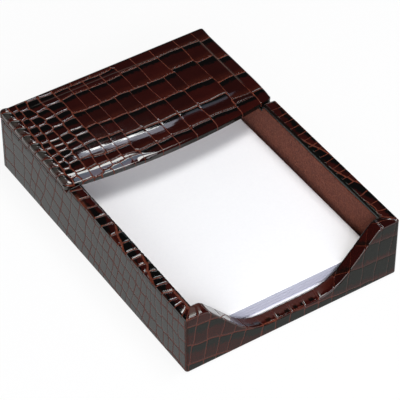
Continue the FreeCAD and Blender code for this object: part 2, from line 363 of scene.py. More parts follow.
def scaleField(u, v, seeds, square):
    # each point finds its nearest and second nearest tile centre, distances counted in half tile sizes;
    # square goes from 0, round cells, to 1, straight tiles. Equal distances mark a groove
    shape = u.shape
    u, v = u.ravel(), v.ravel()
    square = np.broadcast_to(square, shape).ravel()
    nearest = np.empty(u.size, int)
    gap = np.empty(u.size)
    for part in np.array_split(np.arange(u.size), max(1, u.size // 4000)):
        du = np.abs(u[part, None] - seeds[:, 0]) / seeds[:, 2]
        dv = np.abs(v[part, None] - seeds[:, 1]) / seeds[:, 3]
        k = square[part, None]
        far = (1 - k) * np.hypot(du, dv) + k * np.maximum(du, dv)
        two = np.argpartition(far, 1, axis=1)[:, :2]
        first, second = np.take_along_axis(far, two, 1).T
        nearest[part] = two[:, 0]
        gap[part] = second - first
    tile = seeds[nearest]
    half = np.sqrt(tile[:, 2] * tile[:, 3])
    found = {
        "gap": gap * half / 2, "along": (u - tile[:, 0]) / tile[:, 2],
        "across": (v - tile[:, 1]) / tile[:, 3], "tint": tile[:, 4], "half": half,
    }
    return {key: value.reshape(shape) for key, value in found.items()}


def embossed(field, burnFrom, depth, dome, shoulder, columnDepth, fall):
    # height over the tile's level is a dome less a groove. The groove is its depth times a power, fall,
    # of the share of the shoulder's width that is left, and a column line has only the share columnDepth
    # of it. The marks give the distance to the groove in millimetres, counted shorter on row lines, and
    # where the black side begins
    rise = np.clip(field["gap"] / shoulder, 0, 1)
    crown = np.clip(1 - field["across"] ** 2, 0, 1) * np.clip(1 - field["along"] ** 2, 0, 1)
    onRow = ease(-0.12, 0.12, np.abs(field["across"]) - np.abs(field["along"]))
    depth = depth * (columnDepth + (1 - columnDepth) * onRow)
    height = dome * crown - depth * (1 - rise) ** fall
    wide = emboss["columnLine"] + (emboss["rowLine"] - emboss["columnLine"]) * onRow
    marks = {
        "gap": field["gap"] / wide, "shade": field["across"] - burnFrom,
        "front": ease(-0.35, -1.0, field["across"]), "tint": field["tint"],
        "hatch": onRow * (field["across"] < 0) * (1 - ease(0.25, 0.9, field["gap"])),
        "rub": np.zeros(rise.shape), "paintedSheen": np.zeros(rise.shape), "glaze": np.ones(rise.shape),
    }
    return height, marks


# walls

wallShape = {
    "spacing": 0.3, "fixedFront": 50.0, "fixedSide": 70.0,  # grid step, and where a run begins to shorten
    "stepY": 19.3, "stepRound": 1.8, "stepTurn": 84.0, "stepFoot": 19.55,
    "scoopSill": 8.0, "scoopFillet": 26.0, "scoopShoulder": 5.5, "scoopSlope": 48.0, "scoopLand": 9.0,
    "faceDepth": 0.1, "faceShoulder": 0.65, "faceFall": 2.0, "faceSoft": 0.45, "faceRust": 0.2,
    "rimDepth": 0.4, "rimShoulder": 0.8, "rimFall": 1.25, "rimDome": 0.02, "rimRust": 0.4,
    "rimLean": 0.16, "leanOver": (1.0, 5.6),  # how much lower the rim's outer side is, and over which width
    # shadedLip: where the painted shade in the gap above the lining begins and where it is full
    "glazeEnd": (6.2, 5.4), "shadedLip": (6.1, 6.7), "lineEnd": (6.2, 7.2),  # along the hide, past the crest
    "rollWorn": 0.35, "rollWidth": 0.5, "cornerRub": 0.22, "cornerWidth": 0.9,
}


def evenly(t, z, step):
    # the same open line with its points evenly spaced along its length, closer near both ends
    length = np.concatenate([[0], np.cumsum(np.hypot(np.diff(t), np.diff(z)))])
    s = run(0, length[-1], step)
    s = np.unique(np.concatenate([s, run(0, 2.0, step / 2), run(length[-1] - 2.0, length[-1], step / 2)]))
    return np.interp(s, length, t), np.interp(s, length, z)


def scoopCrest():
    # half of the outline from the middle: flat sill, hollow arc, straight slope, round shoulder, level
    # land
    w = wallShape
    sill, fillet, shoulder, rim = w["scoopSill"], w["scoopFillet"], w["scoopShoulder"], tray["rim"]
    slope = math.radians(w["scoopSlope"])
    shoulderX = tray["halfWidth"] - w["scoopLand"]
    radii = fillet + shoulder
    flatX = shoulderX - (radii + (rim - sill - radii) * math.cos(slope)) / math.sin(slope)
    turn = np.linspace(0, slope, 80)
    back = turn[::-1]
    t = np.concatenate([[0.0], flatX + fillet * np.sin(turn), shoulderX - shoulder * np.sin(back),
                        [tray["halfWidth"]]])
    z = np.concatenate([[sill], sill + fillet * (1 - np.cos(turn)), rim - shoulder * (1 - np.cos(back)),
                        [rim]])
    return evenly(np.concatenate([-t[:0:-1], t]), np.concatenate([z[:0:-1], z]), w["spacing"])


def sideCrest():
    # level rim from the front, a rolled step down just before the hood, then level at the hood's seam
    w = wallShape
    turn = np.linspace(0, math.radians(w["stepTurn"]), 20)
    startY = w["stepY"] - w["stepRound"]
    t = np.concatenate([[-tray["halfLength"]], startY + w["stepRound"] * np.sin(turn),
                        [w["stepFoot"], tray["halfLength"]]])
    z = np.concatenate([[tray["rim"]], tray["rim"] - w["stepRound"] * (1 - np.cos(turn)),
                        [tray["seam"]] * 2])
    return evenly(t, z, w["spacing"])


def wallSection():
    # inward offset and height of one turn of hide: under the foot, round it, up the face, over the rim,
    # down the inner lip, and back along the board. Heights are given from the foot (low) or the crest
    # (high)
    a = np.linspace(0, math.pi / 2, 6)
    foot, rim, r = tray["footRound"], tray["rimRound"], tray["wall"]
    face = np.linspace(0, 1, 88)
    zero = np.zeros
    # offset, height above foot, share of the way up the face, depth below the crest, share of the relief
    parts = [
        (np.linspace(tray["turnUnder"], foot, 7), zero(7), zero(7), 0, 0.0),
        (foot * (1 - np.sin(a)), foot * (1 - np.cos(a)), zero(6), 0, 0.3),
        (zero(88), foot, face, rim, 1.0),
        (rim * (1 - np.cos(a)), foot, np.ones(6), rim * (1 - np.sin(a)), 1.0),
        (np.linspace(rim, r - rim, 17), foot, np.ones(17), zero(17), 1.0),
        (r - rim * (1 - np.sin(a)), foot, np.ones(6), rim * (1 - np.cos(a)), 0.6),
        (np.full(4, r), foot, np.ones(4), np.linspace(rim, tray["turnIn"], 4), 0.2),
        (np.array([r - tray["lining"], r - tray["lining"], tray["leather"]]), foot, np.ones(3),
         np.array([tray["turnIn"], tray["leather"], tray["leather"]]), 0.0),
        (np.array([tray["leather"], tray["turnUnder"]]), tray["leather"], zero(2), 0, 0.0),
    ]
    columns = [np.concatenate([np.broadcast_to(p[i], len(p[0])) for p in parts]) for i in range(5)]
    keep = np.ones(len(columns[0]), bool)
    keep[np.cumsum([len(p[0]) for p in parts])[:-3]] = False
    return [c[keep] for c in columns]


def wallGrid(crest, half, fixed):
    # each section stands upright on the crest line; near a corner its run shortens to the 45 degree
    # mitre, and the outer layers bend round an arc whose radius shrinks with depth
    t, zt = crest
    w, low, share, below, relief = [c[:, None] for c in wallSection()]
    end = zt[None, :] - np.where(share < 1, tray["rimRound"], below)
    z = tray["foot"] + low + share * (end - tray["foot"] - low)
    limit = half - w
    held = np.minimum(fixed, limit - 2.0)
    size = np.abs(t)[None, :]
    reach = np.where(size <= held, size, held + (size - held) * (limit - held) / (half - held))
    radius = np.maximum(tray["cornerRound"] - w, 0.0)
    start = half - tray["cornerRound"]
    bend = np.where(radius > 0, np.clip((reach - start) / np.maximum(radius, 1e-6), 0, 1), 0) * math.pi / 4
    # the mitre's own line lies across the rim at 45 degrees, and nowhere else
    onRim = np.broadcast_to(share >= 1, z.shape)
    mitre = np.where(onRim, 0.7 * (limit - reach), 9.0)
    reach = np.where(bend > 0, start + radius * np.sin(bend), reach)
    # pattern coordinates: height on the face, then straight on over the rim along the crest's own normal
    dt, dz = np.gradient(t), np.gradient(zt)
    length = np.hypot(dt, dz)
    past = np.where(onRim, w + np.where(w > tray["wall"] - 1.1, below, 0), 0.0)
    u = t[None, :] - past * (dz / length)[None, :]
    v = np.where(onRim, zt[None, :] + past * (dt / length)[None, :], z)
    fade = np.broadcast_to(relief * ease(0.0, 1.3, half - size), z.shape)
    return {
        "along": np.sign(t)[None, :] * reach, "depth": w + radius * (1 - np.cos(bend)), "z": z,
        "u": u, "v": v, "fade": fade, "mitre": mitre, "onRim": onRim, "past": past,
        "corner": half - size + 0 * z,
    }


def coverWall(name, node, place, grid, field, burnFrom, lineShare, seed, rimLine=1.1, crisp=0.5,
              rubbed=0.0, dulled=0.0):
    # lays the flat pattern on the wall and presses it in along the surface normal. lineShare and rimLine
    # are the widths of the rust lines on the face and the rim, crisp is the share of the rim's groove
    # depth, rubbed adds wear on the rim's outer roll, and dulled takes the glaze off its top. The rim
    # leans outwards a little, its inner lip is painted black without lines, as painted shade for the gap
    # above the lining, and the upright corners are faintly worn
    w, onRim, past = wallShape, grid["onRim"], grid["past"]
    points = np.stack(place(grid["along"], grid["depth"], grid["z"]), axis=-1)
    height, marks = embossed(
        field, burnFrom, np.where(onRim, crisp * w["rimDepth"], w["faceDepth"]),
        np.where(onRim, w["rimDome"], 0.0), np.where(onRim, w["rimShoulder"], w["faceShoulder"]), 1.0,
        np.where(onRim, w["rimFall"], w["faceFall"]))
    height = height - np.where(onRim, w["rimLean"] * np.interp(past, w["leanOver"], (1, 0)), 0.0)
    normal = gridNormals(points)
    still = np.zeros(grid["z"].shape)
    outward = np.sign((normal * np.stack(place(still, still - 1, still), axis=-1)).sum())
    points = points + outward * normal * (height * grid["fade"])[..., None]
    gap = np.where(onRim, marks["gap"] / rimLine, field["gap"] / lineShare)
    noLine = 3 * (1 - ease(0.0, 0.25, grid["fade"])) + 2 * ease(*w["lineEnd"], past)
    marks["gap"] = np.minimum(gap + noLine, grid["mitre"] + 0.05)
    marks["hatch"] = still
    marks["glaze"] = onRim * (1.0 - dulled * ease(0.8, 1.8, past)) * ease(*w["glazeEnd"], past)
    marks["front"] = marks["front"] * np.where(onRim, w["rimRust"], w["faceRust"])
    # painted shade: the rim's inner lip is turned black for the gap above the lining
    marks["shade"] = marks["shade"] * np.where(onRim, 1.0, w["faceSoft"]) + 4 * ease(*w["shadedLip"], past)
    roll = np.exp(-((past - w["rollWorn"]) / (w["rollWidth"] + np.maximum(rubbed, 0))) ** 2)
    worn = roll * np.clip(0.6 * drift(grid["u"], grid["v"], 13, seed) + rubbed, 0, 0.75)
    dullTop = 0.55 * dulled * ease(1.4, 3.0, past)
    upright = w["cornerRub"] * np.exp(-(grid["corner"] / w["cornerWidth"]) ** 2)
    marks["rub"] = np.where(onRim, np.maximum(worn, dullTop), upright)
    return putPiece(name, points, crocLook, "holder", [node], marks)


sideWall = {
    "slopes": [(-85, 0.0), (-58, 0.0), (-50, 0.2), (-44, 0.27), (-5, 0.26), (20, 0.23), (36, 0.32),
               (50, 0.38), (58, 0.2), (66, 0.0), (85, 0.0)],  # place along the wall and the rows' slope
    "columns": np.concatenate([np.arange(-98.2, -3, 4.8), [
        -2.2, 4.2, 11.5, 19.0, 26.5, 34.0, 41.8, 49.0, 55.5, 62.5, 72.5, 81.5, 92.0]]),
    "rows": 3.2 + 8.7 * np.arange(-7, 7), "rimRows": 35.2 + 8.8 * np.arange(-2, 6),
    "leftRim": np.concatenate([np.arange(-107.6, -36, 5.3), np.arange(-33.7, 110, 7.1)]),
    "rightRim": np.concatenate([
        np.arange(-107.0, -54, 7.6), np.arange(-52.0, -12, 4.7), np.arange(-9.5, 110, 5.5)]),
}
frontWall = {
    "slopes": [(-60, -0.12), (-46, -0.15), (-40, -0.3), (-25, -0.34), (-18, -0.1), (28, -0.08),
               (60, -0.09)],
    "columns": np.arange(-96.5, 110, 8.0), "rows": 5.9 + 12.3 * np.arange(-4, 7),
}
backWall = {"slopes": [(-60, 0.06), (60, 0.12)]}


def sideField(grid, rimColumns, seed):
    # rows that fall towards the front, with broad tiles at the rear and narrow rounder ones in front; the
    # rim has its own rows, which cross it slantwise, and columns that lean a little
    u, v = grid["u"], grid["v"]
    alongU, acrossV = slanted(u, v, sideWall["slopes"])
    face = scaleField(
        alongU + 0.4 * drift(u, v, 18, seed + 20), acrossV + 0.4 * drift(u, v, 15, seed + 21),
        tileSeeds(sideWall["columns"], sideWall["rows"], seed, 0.8),
        np.interp(u, [-30, 20, 50], [0.3, 0.7, 0.85]))
    slip = np.interp(u, [-67, -8], [20.3, 0.0]) + 0.3 * drift(u, v, 12, seed + 22)
    lean = 0.15 * (grid["past"] - tray["wall"] / 2) + 0.4 * drift(u, v, 9, seed + 23)
    rim = scaleField(u + lean, v + slip, tileSeeds(rimColumns, sideWall["rimRows"], seed + 7, 0.5), 0.6)
    rim["across"] = -rim["across"]
    return {key: np.where(grid["onRim"], rim[key], face[key]) for key in face}


def frontField(grid, seed, slopes):
    # rows of upright tiles that follow the given slopes
    u, v = grid["u"], grid["v"]
    alongU, acrossV = slanted(u, v, slopes)
    return scaleField(alongU + 0.4 * drift(u, v, 15, seed + 2), acrossV + 0.3 * drift(u, v, 13, seed + 3),
                      tileSeeds(frontWall["columns"], frontWall["rows"], seed, 0.6), 0.88)


halfW, halfL = tray["halfWidth"], tray["halfLength"]
frontGrid = wallGrid(scoopCrest(), halfW, wallShape["fixedFront"])
sideGrid = wallGrid(sideCrest(), halfL, wallShape["fixedSide"])
levelCrest = evenly(np.array([-halfW, halfW]), np.full(2, tray["seam"]), wallShape["spacing"])
backGrid = wallGrid(levelCrest, halfW, wallShape["fixedFront"])

# the scoop's sill and the left land are dull, but for black glazed dabs along the sill's roll; on the
# scoop's right slope the tiles are black at the other side
frontU = frontGrid["u"]
frontTiles = frontField(frontGrid, 31, frontWall["slopes"])
onSlope = ease(16, 22, frontU)
wave = np.sin(1.28 * frontU + 1.2 * drift(frontU, 0.0, 11, 47))
dabs = np.exp(-((frontGrid["past"] - 1.9) / 1.2) ** 2) * ease(-0.4, 0.2, wave)
dabs = dabs * ease(-27, -20, frontU) * ease(18, 10, frontU)
sillDull = 0.9 * ease(-36, -26, frontU) * ease(26, 16, frontU) * (1 - dabs)
rimBurn = (1 - onSlope) * (0.85 - 3.2 * dabs) + onSlope * (2 * frontTiles["across"] + 0.6)
frontBurn = np.where(frontGrid["onRim"], rimBurn, 0.2 - 0.85 * ease(-30, 30, frontU))
coverWall("front_cover", "front_leather", lambda a, d, z: (a, -halfL + d, z), frontGrid, frontTiles,
          frontBurn, 1.3 - 0.8 * ease(-10, 45, frontU), 40, rimLine=0.9 - 0.4 * onSlope, crisp=0.45,
          rubbed=-0.55 * ease(-4, 4, frontU), dulled=np.maximum(sillDull, ease(-44.5, -47, frontU)))

# the side faces are black all over, and the rims are worn just in front of the hood
sideU = sideGrid["u"]
sideBurn = np.where(sideGrid["onRim"], -0.2 + 0.5 * ease(-12, 15, sideU), -3.0)
sideLine = 1.9 + 0.7 * np.clip(drift(sideU, sideGrid["v"], 26, 58), -1, 1)
rimDrift = np.clip(1.5 * drift(sideU, 0.0, 9, 61), -1, 1)
beforeHood = ease(18.5, 17, sideU)
coverWall("left_cover", "left_leather", lambda a, d, z: (-halfW + d, a, z), sideGrid,
          sideField(sideGrid, sideWall["leftRim"], 51), sideBurn, sideLine, 60, rimLine=1.8,
          crisp=(0.75 + 0.25 * rimDrift) * (0.3 + 0.7 * ease(-80, -62, sideU)),
          rubbed=0.9 * ease(-6, 9, sideU) * beforeHood)
coverWall("right_cover", "right_leather", lambda a, d, z: (halfW - d, a, z), sideGrid,
          sideField(sideGrid, sideWall["rightRim"], 71), sideBurn, sideLine, 80, rimLine=1.2,
          crisp=0.2 + 0.1 * rimDrift, rubbed=0.5 * ease(-12, 6, sideU) * beforeHood)
coverWall("back_cover", "back_leather", lambda a, d, z: (a, halfL - d, z), backGrid,
          frontField(backGrid, 91, backWall["slopes"]), 0.1, 1.1, 95)
print("walls covered")


# the hood

hood = {
    "length": 68.8, "bow": 5.1, "fall": 18.0, "drop": 1.0, "nose": 2.0, "edge": 1.2, "endRound": 2.2,
    "seat": 0.3, "rearEase": 8.0, "underDraw": 0.16,
    "recess": {"front": 33.4, "rear": 73.0, "halfWidth": 47.9, "height": 0.7},  # for the lining below
    # the rolled front as length up from the lip and slope there, in degrees
    "rollSharp": [(0, 90), (1.6, 90), (3.76, 7.35)],
    "rollSoft": [(0, 90), (1.7, 84), (2.4, 20), (5.8, 12), (8.0, 8), (8.8, 5.2)],
    "spacing": 0.24, "scaleSpacing": 0.28, "tileSpacing": 0.4,
    "tileDepth": 0.14, "scaleDepth": 0.3, "extraDepth": 0.1, "dome": 0.006, "bead": 0.5,
    # small scales lie left of the first x and behind y, or left of the second x; left of the last are
    # beads
    "scalesTo": (-31.1, 39.8, -45.1), "beadsTo": -55.7,
    "panelRight": 52.3, "panelRear": [(-45, 78.3), (0, 78.2), (20, 77.4), (52, 77.0)],
    "lines": {  # the row grooves from the rear to the underside of the nose, as x and y
        "back": [(-60, 91.0), (60, 91.0)],
        "strip": [(-60, 82.4), (-25, 81.4), (0, 81.2), (6, 84.5), (12, 88.0), (60, 88.0)],
        "first": [(-34, 75.5), (-15, 74.8), (-5, 74.8), (15, 76.6), (60, 77.0)],
        "second": [(-31, 62.4), (27, 62.3), (30, 64.3), (34, 65.2), (39, 64.8), (43, 62.6), (60, 62.4)],
        "third": [(-31, 51.0), (-24, 49.3), (-10, 48.5), (0, 48.0), (24, 47.8), (33, 48.7), (40, 48.0),
                  (43, 43.9), (60, 43.0)],
        "fourth": [(-45, 39.8), (-24, 39.8), (-20, 38.7), (-14, 35.0), (-5, 34.3), (24, 34.0), (40, 34.5),
                   (43, 28.8), (60, 28.2)],
        "fifth": [(-45, 32.4), (-38, 30.4), (-28, 29.2), (-18, 29.0)],
        "nose": [(-60, 27.5), (-40, 24.7), (-20, 23.0), (0, 22.4), (20, 23.0), (40, 24.7), (60, 27.5)],
        "face": [(-60, 19.0), (-45, 18.6), (-35, 20.3), (-25, 20.9), (-17, 21.4)],
        "lip": [(-60, 17.0), (-40, 14.2), (-20, 12.5), (0, 12.0), (20, 12.5), (40, 14.2), (60, 17.0)],
        "under": [(-60, 7.0), (0, 2.0), (60, 7.0)],
    },
    "tiles": [  # rear groove, front groove and the columns between them
        ("back", "strip", [-31.2, -20.0, -9.0, 2.0, 13.0, 25.0, 38.0, 52.3]),
        ("strip", "first", [-31.2, -22.5, -14.0, -4.5, 5.0, 15.0, 27.0, 41.0, 52.3]),
        ("first", "second", [-30.2, -22.5, -14.5, -4.5, 5.0, 15.0, 27.5, 41.5, 52.3]),
        ("second", "third", [-31.2, -24.5, -16.5, -7.5, 1.5, 11.5, 21.5, 28.5, 42.0, 52.3]),
        ("third", "fourth", [-31.2, -24.0, -17.0, -8.0, 2.0, 12.5, 25.0, 41.5, 52.3]),
        ("fourth", "fifth", [-45.1, -38.4, -31.4, -25.2, -17.8]),
        ("fifth", "nose", [-45.1, -39.5, -33.0, -26.0, -19.3]),
        ("fourth", "nose", [-17.5, -7.5, 2.0, 12.5, 24.5, 40.5, 52.3]),
        ("nose", "face", [-45.1, -39.5, -33.0, -26.0, -17.5]),
        ("face", "lip", [-45.1, -41.0, -35.0, -29.0, -23.0, -17.5]),
        ("nose", "lip", [-17.5, -7.5, 2.0, 12.5, 24.5, 40.5, 52.3]),
        ("lip", "under", [-45.1, -30.0, -15.0, 0.0, 15.0, 30.0, 52.3]),
    ],
    "strips": [  # narrow columns, each with its own grooves
        (-61.6, -55.6, [95.2, 88.4, 81.7, 75.0, 68.2, 61.5, 54.7, 48.0, 41.2, 34.5, 27.7, 21.0, 14.2]),
        (-55.6, -51.2, [
            92.0, 85.5, 79.0, 72.0, 65.1, 58.5, 51.8, 46.8, 41.4, 35.7, 29.5, 23.5, 17.0, 10.0]),
        (-51.2, -45.1, [
            90.5, 84.0, 77.4, 70.5, 63.8, 57.2, 50.6, 46.3, 42.4, 37.8, 32.4, 26.0, 19.5, 12.0]),
        (-45.1, -38.5, [90.0, 82.5, 73.8, 66.2, 58.6, 51.8, 45.7, 39.8]),
        (-38.5, -31.0, [90.0, 82.3, 75.2, 66.4, 60.4, 52.5, 47.1, 39.8]),
        (52.3, 62.8, [92.0, 75.6, 58.8, 43.0, 28.2, 16.0, 6.0]),
    ],
}


def hoodContour(roll):
    # side view of the hood as one closed line: lip, rolled front, gentle fall, level top, rear roll, rear
    # face, underside. Gives y, z, how far each point draws in at the ends, along y and z, and the
    # pattern's own length, which is 100 on the underside
    h = hood
    noseY = halfL - h["length"]
    reach = h["fall"] - h["nose"]
    radius = (reach ** 2 + h["drop"] ** 2) / (2 * h["drop"]) + h["nose"]
    step, edge = h["spacing"], h["edge"]
    top, seam = tray["hoodTop"], tray["seam"] + h["seat"]
    # the front's slope is given along its length, and its run and rise are summed from it
    s = np.linspace(0, roll[-1][0], 200)
    slope = np.radians(throughKnots(roll, s))
    y, z = [np.cumsum(part(slope)) * s[1] for part in (np.cos, np.sin)]
    y, z = y - y[0] + noseY, z - z[-1]
    tilt = math.asin((noseY + h["fall"] - y[-1]) / radius)
    z = z + top - radius * (1 - math.cos(tilt))
    pick = np.linspace(0, 199, 30).astype(int)
    nose = (y[pick], z[pick], np.sin(slope[pick]), -np.cos(slope[pick]), y[-1] - (s[-1] - s[pick]))
    lip = z[0] - seam
    a = np.linspace(math.pi, math.pi / 2, 8)[:-1]
    below = (noseY + lip - lip * np.sin(a), seam + lip + lip * np.cos(a), 0 * a + 1,
             -h["underDraw"] * np.cos(a), nose[4][0] - lip * (a - math.pi / 2))
    b = np.linspace(tilt, 0, int(h["fall"] / step))[1:]
    y = noseY + h["fall"] - radius * np.sin(b)
    fall = (y, top - radius * (1 - np.cos(b)), np.sin(b), -np.cos(b), y)
    rearY = halfL - edge
    y = run(noseY + h["fall"], rearY, step)[1:]
    less = edge / h["endRound"]
    level = (y, 0 * y + top, 0 * y, (1 - less) * ease(rearY - h["rearEase"], rearY, y) - 1, y)
    c = run(0, math.pi / 2, step / edge)[1:]
    turn = (rearY + edge * np.sin(c), top - edge + edge * np.cos(c), -less * np.sin(c), -less * np.cos(c),
            rearY + edge * c)
    z = run(top - edge, seam + 0.3, step)[1:]
    rear = (0 * z + halfL, z, 0 * z - less, 0 * z, rearY + edge * 1.57 + (top - edge - z))
    # the stations of the underside, close together where the recess for its lining begins and ends
    y = np.array([
        halfL - 0.3, 80.0, 74.5, 73.2, 72.8, 66.0, 58.0, 50.0, 42.0, 33.6, 33.1, 30.0, 26.0, 22.5])
    under = (y, 0 * y + seam, 0 * y, 0 * y + h["underDraw"], 0 * y + 100.0)
    return [np.concatenate(parts) for parts in zip(below, nose, fall, level, turn, rear, under)]


def hoodSeeds():
    # one centre for each tile, halfway between its grooves and its columns: x, y, half width, half
    # length, tint. The small scales stray a little from there
    found = []
    for rear, front, columns in hood["tiles"]:
        columns = np.array(columns)
        u = (columns[1:] + columns[:-1]) / 2
        high, low = [throughKnots(hood["lines"][key], u) for key in (rear, front)]
        found.append(np.stack([u, (high + low) / 2, np.diff(columns) / 2, (high - low) / 2], axis=-1))
    for left, right, grooves in hood["strips"]:
        grooves = np.array(grooves)
        v = (grooves[1:] + grooves[:-1]) / 2
        middle, half = np.full(v.shape, (left + right) / 2), np.full(v.shape, (right - left) / 2)
        found.append(np.stack([middle, v, half, -np.diff(grooves) / 2], axis=-1))
    found = np.concatenate(found)
    stray = np.random.default_rng(12).uniform(-0.5, 0.5, (len(found), 2)) * (found[:, :1] < -31)
    found[:, :2] += stray * (1.0, 0.7)
    return np.column_stack([found, np.random.default_rng(11).uniform(0, 1, len(found))])


def hoodGrid():
    # the side contour is carried across the hood; its front follows the bow, and towards each end it
    # draws in on a quarter round and closes over the end face. Gives the points and the pattern's own
    # coordinates
    h, edge = hood, hood["endRound"]
    sharp, soft = [np.array(hoodContour(h[key]))[:, :, None] for key in ("rollSharp", "rollSoft")]
    a = run(math.pi / 2, 0, h["spacing"] / edge)
    x = np.concatenate([
        -halfW + edge - edge * np.sin(a), run(-halfW + edge, -30, h["scaleSpacing"])[1:],
        run(-30, halfW - edge, h["tileSpacing"])[1:-1], halfW - edge + edge * np.sin(a[::-1])])
    drawn = edge * (1 - np.cos(a))
    inset = np.concatenate([drawn, np.zeros(len(x) - 2 * len(a)), drawn[::-1]])
    u = np.concatenate([-halfW + edge - edge * a, x[len(a):-len(a)], halfW - edge + edge * a[::-1]])
    # three more stations at each end close it towards a spine inside
    closing = np.array([0.8, 0.55, 0.3])
    x = np.concatenate([[-halfW] * 3, x, [halfW] * 3])[None, :]
    inset = np.concatenate([[edge] * 3, inset, [edge] * 3])[None, :]
    u = np.concatenate([u[0] - closing * edge, u, u[-1] + closing[::-1] * edge])[None, :]
    toSpine = np.concatenate([closing, np.zeros(u.shape[1] - 6), closing[::-1]])[None, :]
    # the front rolls over sharply in the middle; at the left and the right end it falls gently to a low
    # face
    y, z, inY, inZ, v = sharp + (soft - sharp) * np.maximum(ease(-10, -26, x), ease(46, 55, x))
    under = v > 99
    bowRadius = (halfW ** 2 + h["bow"] ** 2) / (2 * h["bow"])
    bow = bowRadius - np.sqrt(bowRadius ** 2 - x ** 2)
    noseY = halfL - h["length"]
    bow = bow * (1 - ease(noseY + h["fall"], halfL - h["rearEase"], y))
    py, pz = y + inY * inset, z + inZ * inset
    spineY = np.clip(y, noseY + edge + 1.0, halfL - 2.4)
    py = py + (spineY - py) * toSpine + bow
    pz = pz + (tray["seam"] + 1.5 - pz) * toSpine
    r = h["recess"]
    lined = under & (y > r["front"]) & (y < r["rear"]) & (np.abs(x) < r["halfWidth"])
    pz = np.where(lined, tray["seam"] + r["height"], pz)
    points = np.stack([np.broadcast_to(x, pz.shape), py, pz], axis=-1)
    u, bowedV = np.broadcast_arrays(u, v + np.where(under, 0.0, bow))
    return {"points": points, "u": u, "v": bowedV, "ownV": v, "under": under, "toSpine": toSpine}


def coverHood():
    # lays tiles, small scales and a row of beads on the hood and presses them in along the surface normal
    h, grid = hood, hoodGrid()
    points, u, v, under = [grid[key] for key in ("points", "u", "v", "under")]
    square = np.interp(u, [-36, -30], [0.25, 0.88])
    warpU = u + (0.35 + 0.4 * ease(-28, -36, u)) * drift(u, v, 19, 13)
    warpV = v + 0.4 * drift(u, v, 17, 14) + np.interp(u, [-61, -55], [-1.6, 1.2]) * ease(-54.6, -56.6, u)
    field = scaleField(warpU, warpV, hoodSeeds(), square)
    across, along = np.abs(field["across"]), np.abs(field["along"])
    right, front, nose = h["scalesTo"]
    small = np.maximum(ease(right + 0.5, right - 0.5, warpU) * ease(front - 0.5, front + 0.5, warpV),
                       ease(nose + 0.5, nose - 0.5, warpU))
    beads = ease(h["beadsTo"] + 0.5, h["beadsTo"] - 0.5, u)
    # the corners of the small scales are rounded off
    rounded = np.maximum((1.13 - (along ** 4 + across ** 4) ** 0.25) * field["half"], 0)
    field["gap"] = field["gap"] + small * (np.minimum(field["gap"], rounded) - field["gap"])
    # where the hood bends, at its two front rows, the column grooves are pressed deeper too
    offNose, offBend = [np.abs(warpV - throughKnots(h["lines"][key], u)) for key in ("nose", "fourth")]
    edged = ease(1.8, 1.0, offNose) * ease(-24, -17, u) * ease(52, 46, u)
    bent = ease(2.6, 0.8, offBend) * ease(-18, -10, u) * ease(52, 46, u)
    depth = h["tileDepth"] + (h["scaleDepth"] - h["tileDepth"]) * small + h["extraDepth"] * (beads + edged)
    burnFrom = 0.5 - small * (0.7 + 0.9 * (field["tint"] - 0.5))
    height, marks = embossed(
        field, burnFrom, depth, h["dome"] + h["bead"] * beads, 0.65 - 0.08 * small + 0.5 * beads,
        0.1 + 0.8 * np.maximum(bent, edged), 2.0 - 0.75 * np.maximum(small * (1 - beads), edged))
    height = height + 0.0015 * drift(u / 14, v, 1.6, 15) * ease(39, 37, v)  # faint ripples along the front
    fade = np.where(under, 0.0, 1.0) * np.where(grid["toSpine"] > 0, 0.5, 1.0)
    normal = gridNormals(points)
    outward = np.sign(normal[len(normal) // 3, normal.shape[1] // 2, 2])
    points = points + outward * normal * (height * fade)[..., None]
    # the panel under the padding shows as a dull crease a little inside the rear and right edges, with a
    # painted grey reflection along it, and the beads are dull on top with a painted grey reflection
    beside = ease(34, 40, v) * ease(79, 76.5, v) * np.exp(-((u - h["panelRight"]) / 0.4) ** 2)
    behind = np.exp(-((v - throughKnots(h["panelRear"], u)) / 0.3) ** 2)
    behind = ease(-48, -42, u) * ease(53, 51.5, u) * behind
    beadSheen = 0.9 * beads * ease(0.95, 0.3, across) * ease(-56.6, -58.4, u)
    marks["paintedSheen"] = 0.45 * np.maximum(np.maximum(beside, 0.8 * behind), beadSheen)
    # the front edge of a small scale, and of the tiles on the nose, keeps its glaze down to the groove
    glint = np.maximum(small, edged) * (field["across"] < 0) * ease(-0.1, 0.1, across - along)
    marks["gap"] = marks["gap"] * (1 + 1.6 * glint) / (1 + 0.6 * small + 0.4 * beads) + 3 * under
    marks["hatch"] = marks["hatch"] * (1 - small) * (0.35 + 0.65 * ease(41, 37, v))
    marks["front"] = marks["front"] * (1 - 0.8 * small)
    # the lip below the front is black, as are the rear and right edges; the lip and both ends have no
    # glaze
    dullLip = 0.95 * ease(16.4, 15.4, grid["ownV"]) * ease(-15, 15, u)
    dullEnds = np.maximum(ease(-60.9, -61.4, u), ease(60.4, 60.9, u))
    marks["glaze"] = 1 - np.maximum(dullLip, dullEnds)
    black = np.maximum(ease(83.3, 84.3, v), ease(58.6, 59.4, u)) + ease(16.2, 15.2, grid["ownV"])
    marks["shade"] = marks["shade"] + 4 * black
    piece = putPiece("hood_cover", points, crocLook, "holder", ["hood_leather", "hood_padding"],
                     marks)
    return piece


coverHood()


# linings, felt and paper

panel = {"nap": 0.03, "sunk": 0.2, "points": 30}


